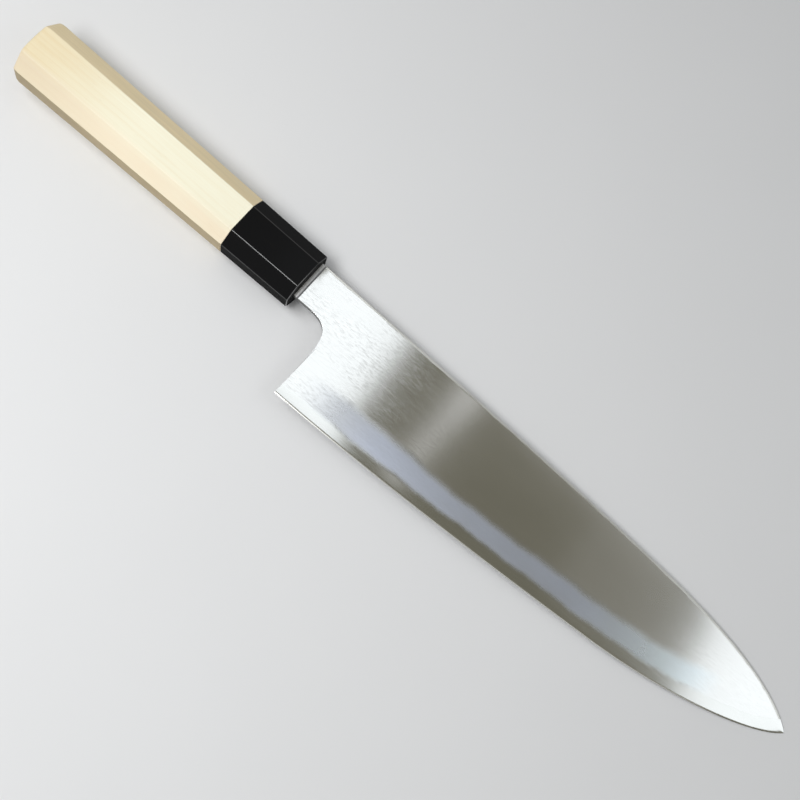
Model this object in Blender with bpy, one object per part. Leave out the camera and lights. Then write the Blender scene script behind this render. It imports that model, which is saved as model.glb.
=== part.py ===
# Gyuto kitchen knife: a three-layer blade with a hidden tang in an octagonal
# wooden handle with a horn ferrule. Metres, +Z up.
# Each piece is modelled in the knife's own directions: X from butt to point,
# Y from edge to spine, Z out of the right face, X = 0 on the ferrule's front.
# One empty then lays the whole knife down as it rests on a flat top.

import math

import bmesh
import bpy
import numpy as np
from mathutils import Matrix, Vector
from mathutils.geometry import interpolate_bezier

# Handle and ferrule. The butt's section narrows evenly to the ferrule's front.
WOOD_LENGTH = 0.1072
FERRULE_LENGTH = 0.0332
BUTT_HEIGHT = 0.0270
BUTT_THICKNESS = 0.0210
BUTT_SIDE_FACET = 0.0140
BUTT_TOP_FACET = 0.0094
FRONT_HEIGHT = 0.0238
BUTT_ROUNDING = 0.0016
BUTT_ROUNDING_LENGTH = 0.0040
BUTT_DOME = 0.0008
FERRULE_WALL = 0.0090
FERRULE_EASE = 0.0004
TENON_DIAMETER = 0.0145
TENON_END_ROOM = 0.0005

# Tang, with its shoulder on the ferrule's front.
TANG_LENGTH = 0.0920
TANG_HEIGHT = 0.0105
TANG_THICKNESS = 0.0030
TANG_END_HEIGHT = 0.0050
TANG_END_THICKNESS = 0.0018
TANG_POINT_LENGTH = 0.0040
SHOULDER_STEP = 0.00025
BEDDING_WALL = 0.0008
BEDDING_END = 0.0020

# Blade outline.
NECK_STRIP = 0.0021
BLADE_LENGTH = 0.2463
SPINE_HEIGHT = 0.0095
NECK_HEIGHT = 0.0171
NECK_STRAIGHT = 0.0047
CHOIL_DEPTH = 0.0177
CHOIL_DROP = 0.0163
HEEL_SETBACK = 0.0004
HEEL_HEIGHT = 0.0505
POINT_DROP = 0.02135
SPINE_CURVE_LENGTH = 0.0684
SPINE_CURVE_DROP = 0.00405
BELLY_LENGTH = 0.0784
BELLY_RISE = 0.0073

# Blade thickness. Three full thicknesses fix the flat upper face, and the
# convex bevel below it runs down to the small bevel at the edge.
NECK_THICKNESS = 0.0033
HEEL_BEVEL_THICKNESS = 0.00224
POINT_THICKNESS = 0.0007
POINT_TAPER_HEIGHT = 0.0060
BEVEL_FULLNESS = 1.6
EDGE_BEVEL_HEIGHT = 0.0005
EDGE_BEVEL_THICKNESS = 0.00024
SPINE_EASE = 0.0003

# Height of the line where the core leaves the cladding, and its gentle waves:
# wavelength, height and start of each.
CORE_BAND = 0.0050
LINE_WAVES = ((0.034, 0.00032, 0.4), (0.0152, 0.00024, 2.1))
# Near the point the cladding ends where it would be lower than this.
LEAST_CLADDING = 0.0015

# Clearances: between pieces that seat, and between layers that are bonded.
SEAT_GAP = 0.0003
BOND_GAP = 0.00005

MAIN_STATIONS = 96
CHOIL_STATIONS = 20
ROUNDING_STEPS = 6
DOME_STEPS = 3
TENON_SIDES = 40

neck_x = NECK_STRIP
neck_bottom = SPINE_HEIGHT - NECK_HEIGHT
point = Vector((neck_x + BLADE_LENGTH, SPINE_HEIGHT - POINT_DROP))
choil_end = Vector((neck_x + CHOIL_DEPTH, neck_bottom - CHOIL_DROP))
heel = Vector((choil_end.x - HEEL_SETBACK, SPINE_HEIGHT - HEEL_HEIGHT))
handle_length = WOOD_LENGTH + FERRULE_LENGTH
taper = FRONT_HEIGHT / BUTT_HEIGHT


# Outlines

def curve_through(*knots):
    # Each knot is a place with the reach of its tangent back and ahead.
    path = []
    for (start, _, ahead), (end, back, _) in zip(knots, knots[1:]):
        piece = interpolate_bezier(start, start + ahead, end + back, end, 160)
        path += [(place.x, place.y) for place in piece]
    return np.array(path)


def spine_outline():
    start = Vector((neck_x, SPINE_HEIGHT))
    turn = Vector((point.x - SPINE_CURVE_LENGTH, SPINE_HEIGHT - SPINE_CURVE_DROP))
    return curve_through(
        (start, None, Vector((0.34, -0.0034)) * (turn.x - start.x)),
        (turn, Vector((-0.28, 0.0151)) * (turn.x - start.x), Vector((0.395, -0.0213)) * SPINE_CURVE_LENGTH),
        (point, Vector((-0.178, 0.158)) * SPINE_CURVE_LENGTH, None),
    )


def edge_outline():
    belly = Vector((point.x - BELLY_LENGTH, heel.y + BELLY_RISE))
    return curve_through(
        (heel, None, Vector((0.333, 0.0)) * (belly.x - heel.x)),
        (belly, Vector((-0.263, -0.021)) * (belly.x - heel.x), Vector((0.383, 0.0306)) * BELLY_LENGTH),
        (point, Vector((-0.134, -0.131)) * BELLY_LENGTH, None),
    )


def choil_outline():
    start = Vector((neck_x + NECK_STRAIGHT, neck_bottom))
    reach = CHOIL_DEPTH - NECK_STRAIGHT
    heel_line = (choil_end - heel).normalized()
    return curve_through(
        (start, None, Vector((0.714 * reach, 0.0))),
        (choil_end, 0.875 * CHOIL_DROP * heel_line, None),
    )


spine_path = spine_outline()
edge_path = edge_outline()
choil_path = choil_outline()


def spine_at(x):
    return Vector((x, float(np.interp(x, spine_path[:, 0], spine_path[:, 1]))))


def edge_at(x):
    return Vector((x, float(np.interp(x, edge_path[:, 0], edge_path[:, 1]))))


def edge_slope(x, step=0.0005):
    x = min(x, point.x - step)
    return (edge_at(x + step).y - edge_at(x - step).y) / (2 * step)


def spine_above_heel():
    # The heel line, carried on up, meets the spine here.
    lean = (choil_end.x - heel.x) / (choil_end.y - heel.y)
    x = choil_end.x
    for _ in range(6):
        x = heel.x + lean * (spine_at(x).y - heel.y)
    return spine_at(x)


heel_spine = spine_above_heel()
heel_span = (heel_spine - heel).length
heel_bevel = (choil_end - heel).length


# Thickness of the blade

def flat_face():
    # The plane through three half thicknesses: neck, choil end and point.
    places = ((neck_x, SPINE_HEIGHT), (choil_end.x, choil_end.y), (point.x, point.y))
    halves = (NECK_THICKNESS / 2, HEEL_BEVEL_THICKNESS / 2, POINT_THICKNESS / 2)
    rows = [(x, y, 1.0) for x, y in places]
    return np.linalg.solve(np.array(rows), np.array(halves))


flat = flat_face()


def flat_half(place):
    return float(flat[0] * place.x + flat[1] * place.y + flat[2])


class Station:
    # One line across the blade, from its edge up to its spine.
    def __init__(self, share):
        ahead = 1 - (1 - share) ** 1.25
        edge_x = heel.x + ahead * (point.x - heel.x)
        lean = (heel_spine.x - heel.x) * (1 - share) ** 2
        self.edge = edge_at(edge_x)
        self.spine = heel_spine if share == 0 else spine_at(edge_x + lean)
        self.span = (self.spine - self.edge).length
        self.bevel = heel_bevel * (1 - max(0.0, 1 - self.span / heel_span) ** 2.2)
        self.edge_bevel = min(EDGE_BEVEL_HEIGHT, 0.2 * self.span)
        wave = sum(high * math.sin(math.tau * edge_x / long + turn) for long, high, turn in LINE_WAVES)
        square = math.sqrt(1 + edge_slope(edge_x) ** 2)
        self.line = (CORE_BAND + wave) * square
        if self.span - self.line < LEAST_CLADDING:
            self.line = self.span
        self.fade = 1 - max(0.0, 1 - self.span / POINT_TAPER_HEIGHT) ** 2

    def place(self, height):
        if self.span < 1e-9:
            return self.edge.copy()
        return self.edge.lerp(self.spine, height / self.span)

    def half(self, height):
        if height <= 0 or self.span < 1e-9:
            return 0.0
        if height >= self.bevel:
            return self.fade * flat_half(self.place(height))
        small = EDGE_BEVEL_THICKNESS / 2 * self.fade
        if height <= self.edge_bevel:
            return small * height / self.edge_bevel
        top = self.fade * flat_half(self.place(self.bevel))
        rise = (height - self.edge_bevel) / (self.bevel - self.edge_bevel)
        return small + (top - small) * (1 - (1 - rise) ** BEVEL_FULLNESS)

    def core_half(self):
        bonded = self.line < self.span
        return self.half(self.line) - (BOND_GAP if bonded else 0.0)


main_stations = [Station(i / MAIN_STATIONS) for i in range(MAIN_STATIONS + 1)]
neck_core_half = main_stations[0].core_half()


class Section:
    # One upright slice of the tang, the shoulder or the neck.
    def __init__(self, top, bottom, half, core_half):
        self.top = top
        self.bottom = bottom
        self.half = half
        self.core_half = core_half


def tang_size(x):
    # Height and thickness of the tang where its long taper passes x.
    share = (SEAT_GAP - x) / TANG_LENGTH
    height = TANG_HEIGHT + share * (TANG_END_HEIGHT - TANG_HEIGHT)
    thickness = TANG_THICKNESS + share * (TANG_END_THICKNESS - TANG_THICKNESS)
    return height, thickness


def tang_sections():
    end_x = SEAT_GAP - TANG_LENGTH
    sections = []
    for x, part in ((end_x, 0.4), (end_x + TANG_POINT_LENGTH, 1.0), (SEAT_GAP, 1.0)):
        height, thickness = tang_size(x)
        core_half = neck_core_half * thickness / TANG_THICKNESS
        half_height = part * height / 2
        sections.append(
            Section(Vector((x, half_height)), Vector((x, -half_height)), lambda _, t=thickness: t / 2, core_half)
        )
    return sections


def neck_sections():
    sections = []
    step = (NECK_THICKNESS - TANG_THICKNESS) / 2
    for x in (SEAT_GAP + SHOULDER_STEP, NECK_STRIP - step):
        sections.append(
            Section(
                Vector((x, SPINE_HEIGHT)), Vector((x, neck_bottom)), lambda _: TANG_THICKNESS / 2, neck_core_half
            )
        )
    rounds = choil_path[np.linspace(0, len(choil_path) - 1, CHOIL_STATIONS).astype(int)]
    bottoms = [Vector((neck_x, neck_bottom))] + [Vector(pair) for pair in rounds[:-1]]
    steps = [0.0] + [(b - a).length for a, b in zip(bottoms, bottoms[1:])]
    along = np.cumsum(steps) / (sum(steps) + (choil_end - bottoms[-1]).length)
    for bottom, share in zip(bottoms, along):
        top = spine_at(neck_x + share * (heel_spine.x - neck_x))
        sections.append(Section(top, bottom, flat_half, neck_core_half))
    return sections


# Meshes

def add_object(name, bm, material):
    mesh = bpy.data.meshes.new(name)
    bm.to_mesh(mesh)
    bm.free()
    mesh.materials.append(material)
    obj = bpy.data.objects.new(name, mesh)
    bpy.context.collection.objects.link(obj)
    return obj


def sheet_solid(name, right, left, material):
    # Closes two matching grids of places, with gaps where there is no place.
    bm = bmesh.new()
    grids = [[[p and bm.verts.new(p) for p in row] for row in sheet] for sheet in (right, left)]
    opposite = {}
    for row_a, row_b in zip(*grids):
        for a, b in zip(row_a, row_b):
            if a:
                opposite[a] = b
    for number, grid in enumerate(grids):
        for near, far in zip(grid, grid[1:]):
            for j in range(len(near) - 1):
                corners = (near[j], near[j + 1], far[j + 1], far[j])
                if all(corners):
                    bm.faces.new(corners if number == 0 else corners[::-1])
    rims = [edge for edge in bm.edges if len(edge.link_faces) == 1 and edge.verts[0] in opposite]
    for edge in rims:
        loop = edge.link_loops[0]
        start, end = loop.vert, loop.link_loop_next.vert
        bm.faces.new((end, start, opposite[start], opposite[end]))
    bmesh.ops.remove_doubles(bm, verts=bm.verts, dist=1e-7)
    bmesh.ops.recalc_face_normals(bm, faces=bm.faces)
    return add_object(name, bm, material)


def ring_solid(name, rings, material=None):
    # Skins a row of rings that have equally many corners, and closes the ends.
    bm = bmesh.new()
    loops = [[bm.verts.new(place) for place in ring] for ring in rings]
    for near, far in zip(loops, loops[1:]):
        for k in range(len(near)):
            after = (k + 1) % len(near)
            bm.faces.new((near[k], near[after], far[after], far[k]))
    bm.faces.new(loops[0])
    bm.faces.new(loops[-1])
    bmesh.ops.recalc_face_normals(bm, faces=bm.faces)
    return add_object(name, bm, material or plain)


def boolean(obj, cutter, operation):
    cutter.hide_render = True
    cutter.display_type = "WIRE"
    modifier = obj.modifiers.new(cutter.name, "BOOLEAN")
    modifier.operation = operation
    modifier.object = cutter


def painted(name, colour, roughness, metallic=0.0):
    material = bpy.data.materials.new(name)
    material.use_nodes = True
    shader = material.node_tree.nodes["Principled BSDF"]
    shader.inputs["Base Color"].default_value = (*colour, 1.0)
    shader.inputs["Roughness"].default_value = roughness
    shader.inputs["Metallic"].default_value = metallic
    material.diffuse_color = (*colour, 1.0)
    return material


# Blade

def cladding_sheets(side):
    outer, inner = [], []
    for section in tang_sections() + neck_sections():
        down = (section.bottom - section.top).normalized()
        bond = section.core_half + BOND_GAP
        eased = section.top + down * SPINE_EASE
        places = ((section.top, SPINE_EASE), (eased, 0.0), (section.bottom, 0.0))
        row = [(*place, side * (section.half(place) - less)) for place, less in places]
        outer.append(row + [None] * 4)
        inner.append([(*place, side * bond) for place, _ in places] + [None] * 4)
    for station in main_stations:
        bond = station.half(station.line)
        if station.line >= station.span:
            last = (*station.spine, side * bond)
            outer.append([last] * 7)
            inner.append([last] * 7)
            break
        ease = min(SPINE_EASE, (station.half(station.span) - bond) / 2)
        bevel = max(station.bevel, station.line + 0.4 * (station.span - station.line))
        heights = [station.span, station.span - ease]
        heights += [station.line + (bevel - station.line) * part for part in (1.0, 0.75, 0.5, 0.25, 0.0)]
        halves = [station.half(height) for height in heights]
        halves[0] -= ease
        places = [station.place(height) for height in heights]
        outer.append([(*place, side * half) for place, half in zip(places, halves)])
        inner.append([(*place, side * bond) for place in places])
    return outer, inner


def core_sheet(side):
    sheet = []
    for section in tang_sections() + neck_sections():
        row = [(*place, side * section.core_half) for place in (section.top, section.bottom)]
        sheet.append(row + [None] * 5)
    for station in main_stations:
        core_half = station.core_half()
        line = station.line
        heights = [station.span, max(station.bevel, line), line]
        heights += [station.edge_bevel + (line - station.edge_bevel) * part for part in (0.66, 0.3)]
        heights += [station.edge_bevel, 0.0]
        halves = [min(core_half, station.half(height)) for height in heights]
        sheet.append([(*station.place(h), side * half) for h, half in zip(heights, halves)])
    return sheet


def blade_core():
    return sheet_solid("blade_core", core_sheet(1), core_sheet(-1), core_steel)


def cladding(name, side):
    outer, inner = cladding_sheets(side)
    return sheet_solid(name, outer, inner, clad_steel)


# Handle and ferrule

def octagon(x, inset=0.0):
    # The handle's section at x, drawn in evenly by an inset.
    scale = 1 + (taper - 1) * (x + handle_length) / handle_length
    height, thickness = BUTT_HEIGHT * scale, BUTT_THICKNESS * scale
    tall = scale * (1 - 2 * inset / height)
    wide = scale * (1 - 2 * inset / thickness)
    y_side, y_top = BUTT_SIDE_FACET / 2 * tall, BUTT_HEIGHT / 2 * tall
    z_top, z_side = BUTT_TOP_FACET / 2 * wide, BUTT_THICKNESS / 2 * wide
    corners = [(y_side, z_side), (y_top, z_top), (y_top, -z_top), (y_side, -z_side)]
    corners += [(-y, -z) for y, z in corners]
    return [(x, y, z) for y, z in corners]


def circle(x, diameter, sides):
    angles = [math.tau * k / sides for k in range(sides)]
    return [(x, diameter / 2 * math.cos(a), diameter / 2 * math.sin(a)) for a in angles]


def tang_ring(x, clearance):
    height, thickness = tang_size(x)
    y, z = height / 2 + clearance, thickness / 2 + clearance
    return [(x, y, z), (x, y, -z), (x, -y, -z), (x, -y, z)]


def tang_block(name, start, end, clearance, material=None):
    # A block that follows the tang's taper, larger by the clearance all round.
    return ring_solid(name, [tang_ring(start, clearance), tang_ring(end, clearance)], material)


tenon_front = -FERRULE_WALL - TENON_END_ROOM
wood_front = -FERRULE_LENGTH - SEAT_GAP
bore_end = SEAT_GAP - TANG_LENGTH - BEDDING_END


def butt_rings():
    # From the middle of the domed end out to where the full section starts.
    start = -handle_length + BUTT_DOME
    rings = []
    for k in range(DOME_STEPS, 0, -1):
        out = 1 - k / (DOME_STEPS + 1)
        inset = BUTT_ROUNDING + (BUTT_THICKNESS / 2 - BUTT_ROUNDING) * (1 - out)
        rings.append((start - BUTT_DOME * (1 - out ** 2), inset))
    for k in range(ROUNDING_STEPS, -1, -1):
        turn = math.pi / 2 * k / ROUNDING_STEPS
        back = BUTT_ROUNDING_LENGTH * (1 - math.sin(turn))
        rings.append((start + back, BUTT_ROUNDING * (1 - math.cos(turn))))
    return [octagon(x, inset) for x, inset in rings]


def handle():
    wood = ring_solid("handle", butt_rings() + [octagon(wood_front)], pale_wood)
    overlap = 0.003
    tenon_rings = [circle(x, TENON_DIAMETER, TENON_SIDES) for x in (wood_front - overlap, tenon_front)]
    boolean(wood, ring_solid("tenon", tenon_rings), "UNION")
    bore = tang_block("tang_bore", bore_end, tenon_front + overlap, BEDDING_WALL)
    boolean(wood, bore, "DIFFERENCE")
    return wood


def ferrule():
    rings = [octagon(-FERRULE_LENGTH), octagon(-FERRULE_EASE), octagon(0.0, FERRULE_EASE)]
    horn = ring_solid("ferrule", rings, black_horn)
    mortise_rings = [
        circle(x, TENON_DIAMETER + 2 * SEAT_GAP, TENON_SIDES)
        for x in (-FERRULE_LENGTH - FERRULE_WALL, -FERRULE_WALL)
    ]
    boolean(horn, ring_solid("tenon_mortise", mortise_rings), "DIFFERENCE")
    slot = tang_block("tang_slot", -2 * FERRULE_WALL, SEAT_GAP + FERRULE_EASE, SEAT_GAP)
    boolean(horn, slot, "DIFFERENCE")
    return horn


def tang_bedding():
    front = tenon_front - TENON_END_ROOM
    bedding = tang_block("tang_bedding", bore_end + BOND_GAP, front, BEDDING_WALL - BOND_GAP, cement)
    tang_space = tang_block("tang_space", SEAT_GAP - TANG_LENGTH - BOND_GAP, front + SEAT_GAP, BOND_GAP)
    boolean(bedding, tang_space, "DIFFERENCE")
    return bedding


# Resting pose

def resting_turn(pieces):
    # Left side down, the knife stands on the ferrule's front edge and tips
    # forward until the far end of the blade touches too.
    rim_x, _, rim_z = octagon(-FERRULE_EASE)[3]
    ahead = [v.co for piece in pieces for v in piece.data.vertices if v.co.x > 0]
    tilt = min(math.atan2(place.z - rim_z, place.x - rim_x) for place in ahead)
    return Matrix.Rotation(tilt, 4, "Y")


def lay_down(pieces):
    # Turns the knife to its rest, with the middle of its base at the origin.
    turn = resting_turn(pieces)
    places = np.array([(turn @ v.co)[:] for piece in pieces for v in piece.data.vertices])
    low, high = places.min(axis=0), places.max(axis=0)
    shift = Vector((-(low[0] + high[0]) / 2, -(low[1] + high[1]) / 2, -low[2]))
    rest = bpy.data.objects.new("rest", None)
    bpy.context.collection.objects.link(rest)
    rest.matrix_world = Matrix.Translation(shift) @ turn
    for piece in bpy.data.objects:
        if piece != rest:
            piece.parent = rest


for old in list(bpy.data.objects):
    bpy.data.objects.remove(old, do_unlink=True)

core_steel = painted("core_steel", (0.30, 0.31, 0.32), 0.18, 1.0)
clad_steel = painted("clad_steel", (0.42, 0.42, 0.40), 0.32, 1.0)
black_horn = painted("black_horn", (0.010, 0.010, 0.010), 0.12)
pale_wood = painted("pale_wood", (0.80, 0.66, 0.44), 0.55)
cement = painted("cement", (0.45, 0.36, 0.22), 0.6)
plain = painted("plain", (0.5, 0.5, 0.5), 0.5)

pieces = [
    blade_core(),
    cladding("cladding_right", 1),
    cladding("cladding_left", -1),
    handle(),
    ferrule(),
    tang_bedding(),
]
for piece in pieces:
    piece.data.shade_smooth()
    piece.data.set_sharp_from_angle(angle=math.radians(22))
lay_down(pieces)
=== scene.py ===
import math
from types import SimpleNamespace

import bmesh
import bpy
import numpy as np
from mathutils import Matrix, Vector
from mathutils.geometry import interpolate_bezier


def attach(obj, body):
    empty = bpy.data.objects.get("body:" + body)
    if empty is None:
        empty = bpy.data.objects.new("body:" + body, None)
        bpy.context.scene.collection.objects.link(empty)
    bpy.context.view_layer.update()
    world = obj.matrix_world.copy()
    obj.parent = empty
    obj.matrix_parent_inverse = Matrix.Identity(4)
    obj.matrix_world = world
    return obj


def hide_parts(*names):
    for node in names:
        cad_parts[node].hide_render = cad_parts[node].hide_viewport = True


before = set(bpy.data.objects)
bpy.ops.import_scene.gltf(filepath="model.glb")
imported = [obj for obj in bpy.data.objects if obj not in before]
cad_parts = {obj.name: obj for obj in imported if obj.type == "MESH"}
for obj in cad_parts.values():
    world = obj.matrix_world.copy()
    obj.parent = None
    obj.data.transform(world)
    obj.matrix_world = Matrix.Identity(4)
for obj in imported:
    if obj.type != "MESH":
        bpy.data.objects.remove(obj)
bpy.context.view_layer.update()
print("frame loaded")

# Every piece is drawn in the knife's own directions, X from butt to point, Y from
# edge to spine and Z out of the right face, and then laid down as the knife rests.
resting = {
    "tilt": 0.0361202,  # radians about Y
    "shift": (-0.0539496, 0.0137774, 0.0092416),  # metres
}
knifeToWorld = Matrix.Translation(resting["shift"]) @ Matrix.Rotation(resting["tilt"], 4, "Y")


def addObject(name, data):
    made = bpy.data.objects.new(name, data)
    bpy.context.collection.objects.link(made)
    return made


# Node trees are written as sums: a Field is one value in a tree, and arithmetic on
# it adds Math nodes.
class Field:
    def __init__(self, socket):
        self.socket = socket

    def __add__(self, other):
        return calc("ADD", self, other)

    def __sub__(self, other):
        return calc("SUBTRACT", self, other)

    def __rsub__(self, other):
        return calc("SUBTRACT", other, self)

    def __mul__(self, other):
        return calc("MULTIPLY", self, other)

    def __truediv__(self, other):
        return calc("DIVIDE", self, other)

    def __pow__(self, other):
        return calc("POWER", self, other)

    def __abs__(self):
        return calc("ABSOLUTE", self)

    __radd__ = __add__
    __rmul__ = __mul__

    def clamped(self):
        self.socket.node.use_clamp = True
        return self


def treeOf(*values):
    return next(value.socket.id_data for value in values if isinstance(value, Field))


def outputsOf(node):
    return {socket.name: Field(socket) for socket in node.outputs}


def setInputs(node, values):
    for name, value in values.items():
        socket = node.inputs[name]
        if isinstance(value, Field):
            socket.id_data.links.new(value.socket, socket)
        else:
            socket.default_value = (*value, 1.0) if socket.type == "RGBA" else value


def addNode(tree, kind, inputs=None, output=0, **settings):
    node = tree.nodes.new(kind)
    for name, value in settings.items():
        setattr(node, name, value)
    setInputs(node, inputs or {})
    return Field(node.outputs[output])


def calc(operation, *values):
    return addNode(treeOf(*values), "ShaderNodeMath", dict(enumerate(values)), operation=operation)


def vectorMath(operation, first, second):
    return addNode(treeOf(first), "ShaderNodeVectorMath", {0: first, 1: second},
                   operation=operation)


def smoothStep(value, low, high, start=0.0, end=1.0, kind="SMOOTHSTEP"):
    inputs = {"Value": value, "From Min": low, "From Max": high, "To Min": start, "To Max": end}
    return addNode(treeOf(value), "ShaderNodeMapRange", inputs, interpolation_type=kind)


def mixValue(factor, first, second):
    return smoothStep(factor, 0.0, 1.0, first, second, "LINEAR")


def mixColour(factor, first, second, blend="MIX"):
    return addNode(treeOf(factor, first, second), "ShaderNodeMix",
                   {0: factor, 6: first, 7: second}, 2, data_type="RGBA", blend_type=blend)


def shadeBy(colour, amount):
    grey = addNode(treeOf(amount), "ShaderNodeCombineColor", {0: amount, 1: amount, 2: amount})
    return mixColour(1.0, colour, grey, "MULTIPLY")


def stretch(vector, scale, turn=(0, 0, 0)):
    return addNode(treeOf(vector), "ShaderNodeMapping",
                   {"Vector": vector, "Scale": scale, "Rotation": turn})


def noise(vector, scale, detail=2.0, roughness=0.5, distortion=0.0, turn=(0, 0, 0),
          output=0):
    # scale has a number for each direction: a small one draws the noise out along it
    inputs = {"Vector": stretch(vector, scale, turn), "Scale": 1.0, "Detail": detail,
              "Roughness": roughness, "Distortion": distortion}
    return addNode(treeOf(vector), "ShaderNodeTexNoise", inputs, output)


def swing(value, amount):
    # a factor that swings evenly about 1 as the value goes from 0 to 1
    return (1 - amount / 2) + amount * value


def bumped(height, strength, depth, under=None):
    inputs = {"Strength": strength, "Distance": depth, "Height": height}
    if under:
        inputs["Normal"] = under
    return addNode(treeOf(height), "ShaderNodeBump", inputs)


def split(vector):
    made = addNode(treeOf(vector), "ShaderNodeSeparateXYZ", {0: vector})
    return list(outputsOf(made.socket.node).values())


def coordinate(tree, kind):
    return addNode(tree, "ShaderNodeTexCoord", output=kind)


def attribute(tree, name):
    return addNode(tree, "ShaderNodeAttribute", output="Fac", attribute_name=name)


def newGroup(name, inputs, outputs, kind="ShaderNodeTree"):
    group = bpy.data.node_groups.new(name, kind)
    for label, sort, value in inputs:
        socket = group.interface.new_socket(label, in_out="INPUT", socket_type="NodeSocket" + sort)
        if value is not None:
            socket.default_value = value
    for label, sort in outputs:
        group.interface.new_socket(label, in_out="OUTPUT", socket_type="NodeSocket" + sort)
    given = outputsOf(group.nodes.new("NodeGroupInput"))
    return group, given, group.nodes.new("NodeGroupOutput")


def useGroup(tree, group, **inputs):
    made = addNode(tree, "ShaderNodeGroup", inputs, node_tree=group)
    return outputsOf(made.socket.node)


def newMaterial(name):
    material = bpy.data.materials.new(name)
    material.use_nodes = True
    tree = material.node_tree
    return material, tree, tree.nodes["Principled BSDF"]


def knifePlaceGroup():
    # Where a point lies in the knife's own directions, in metres.
    group, _, end = newGroup("knifePlace", (), (("Place", "Vector"),))
    turned = addNode(group, "ShaderNodeMapping",
                     {"Vector": coordinate(group, "Object"), "Location": resting["shift"],
                      "Rotation": (0, resting["tilt"], 0)}, vector_type="TEXTURE")
    setInputs(end, {"Place": turned})
    return group


marksLook = {
    # how fine each noise is along and across the knife
    "slowScale": (45, 700, 700),
    "fineScale": (130, 2600, 2600),
    "loneScale": (90, 3100, 3100),
    "loneTurn": (0, 0, 0.05),
    "loneEnds": (0.7, 0.82),  # only the peaks of the noise are scratches
    "slowShare": 0.4,
    "fineShare": 0.6,
}


def polishMarksGroup():
    # Fine marks that run lengthwise: a mask of streaks and one of single scratches.
    look = SimpleNamespace(**marksLook)
    group, given, end = newGroup(
        "polishMarks",
        (("Place", "Vector", None), ("Fineness", "Float", 1.0), ("Slant", "Float", None)),
        (("Streaks", "Float"), ("Scratches", "Float")),
    )
    sized = vectorMath("MULTIPLY", given["Place"], given["Fineness"])
    turn = addNode(group, "ShaderNodeCombineXYZ", {"Z": given["Slant"]})
    turned = addNode(group, "ShaderNodeMapping", {"Vector": sized, "Rotation": turn})
    slow = noise(turned, look.slowScale, 2.0, 0.6)
    fine = noise(turned, look.fineScale, 1.0, 0.6)
    lone = noise(turned, look.loneScale, 0.0, turn=look.loneTurn)
    setInputs(end, {"Streaks": look.slowShare * slow + look.fineShare * fine,
                    "Scratches": smoothStep(lone, *look.loneEnds)})
    return group


ridgeLook = {
    "facing": (0, 41.7, 90),  # degrees, the way that a quarter of the eight sides face
    "softness": (3, 10),  # degrees away from them, where a ridge begins and is full
    "endLean": (0.3, 0.6),  # where the roundings at the two ends begin
}


def ridgeGroup():
    # 1 on the softened ridges between the handle's sides, from how they face; 0 on its ends.
    look = SimpleNamespace(**ridgeLook)
    group, _, end = newGroup("ridges", (), (("Ridge", "Float"),))
    x, y, z = split(coordinate(group, "Normal"))
    turn = calc("ARCTAN2", abs(y), abs(z))
    away = math.pi
    for side in look.facing:
        away = calc("MINIMUM", away, abs(turn - math.radians(side)))
    ridge = smoothStep(away, *map(math.radians, look.softness))
    setInputs(end, {"Ridge": ridge * smoothStep(abs(x), *look.endLean, 1.0, 0.0)})
    return group


hazeLook = {
    "upperSide": (5.9, 10.6),  # mm above the line
    "lowerSide": (-1.6, 1.3),
    "wander": 1.0,  # mm by which the upper side wavers
    "wanderScale": (34, 80, 0),
    "lowerWander": 0.3,  # the lower side's share of it
    "cloudScale": (30, 75, 0),
    "cloudFade": (0.1, 0.55, 0.8, 1.0),  # a thin cloud leaves 0.8 of the haze
    "lift": 1.8,  # mm more at the heel's end
    "liftEnds": (0.055, 0.100),  # metres along the knife
    "heelFade": (0.022, 0.064),
    "pointFade": (0.203, 0.221),
    "tint": (0.52, 0.56, 0.665),
    "pointTint": (0.85, 0.935, 1.0),
    "dullness": 0.4,
    "pointDullness": 0.2,
    "pointEnds": (0.150, 0.212),  # where the band turns brighter towards the point
}


def hazeBandGroup():
    # The cloudy band above the core's line: soft along both sides, gone at heel and point.
    look = SimpleNamespace(**hazeLook)
    group, given, end = newGroup(
        "hazeBand",
        (("Place", "Vector", None), ("Above", "Float", None)),
        (("Haze", "Float"), ("Cloud", "Float"), ("Tint", "Color"), ("Dullness", "Float")),
    )
    place, above = given["Place"], given["Above"]
    x = split(place)[0]
    wander = (noise(place, look.wanderScale, 1.0) - 0.5) * look.wander
    lift = smoothStep(x, *look.liftEnds, look.lift, 0.0)
    upper = smoothStep(above + wander - lift, *look.upperSide, 1.0, 0.0)
    lower = smoothStep(above + look.lowerWander * wander, *look.lowerSide)
    cloud = noise(place, look.cloudScale, 3.0, 0.55)
    haze = upper * lower * smoothStep(cloud, *look.cloudFade)
    haze = haze * smoothStep(x, *look.heelFade) * smoothStep(x, *look.pointFade, 1.0, 0.0)
    far = smoothStep(x, *look.pointEnds)
    setInputs(end, {"Haze": haze, "Cloud": cloud,
                    "Tint": mixColour(far, look.tint, look.pointTint),
                    "Dullness": mixValue(far, look.dullness, look.pointDullness)})
    return group


# effects that several materials share
knifePlace = knifePlaceGroup()
ridges = ridgeGroup()
polishMarks = polishMarksGroup()
hazeBand = hazeBandGroup()


def placeIn(tree):
    return useGroup(tree, knifePlace)["Place"]


def layered(colour, rough, *coats):
    # Lays coats on a base, each where its mask says, with its own colour and roughness.
    for mask, tint, dullness in coats:
        colour = mixColour(mask, colour, tint)
        rough = mixValue(mask, rough, dullness)
    return colour, rough


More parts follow.
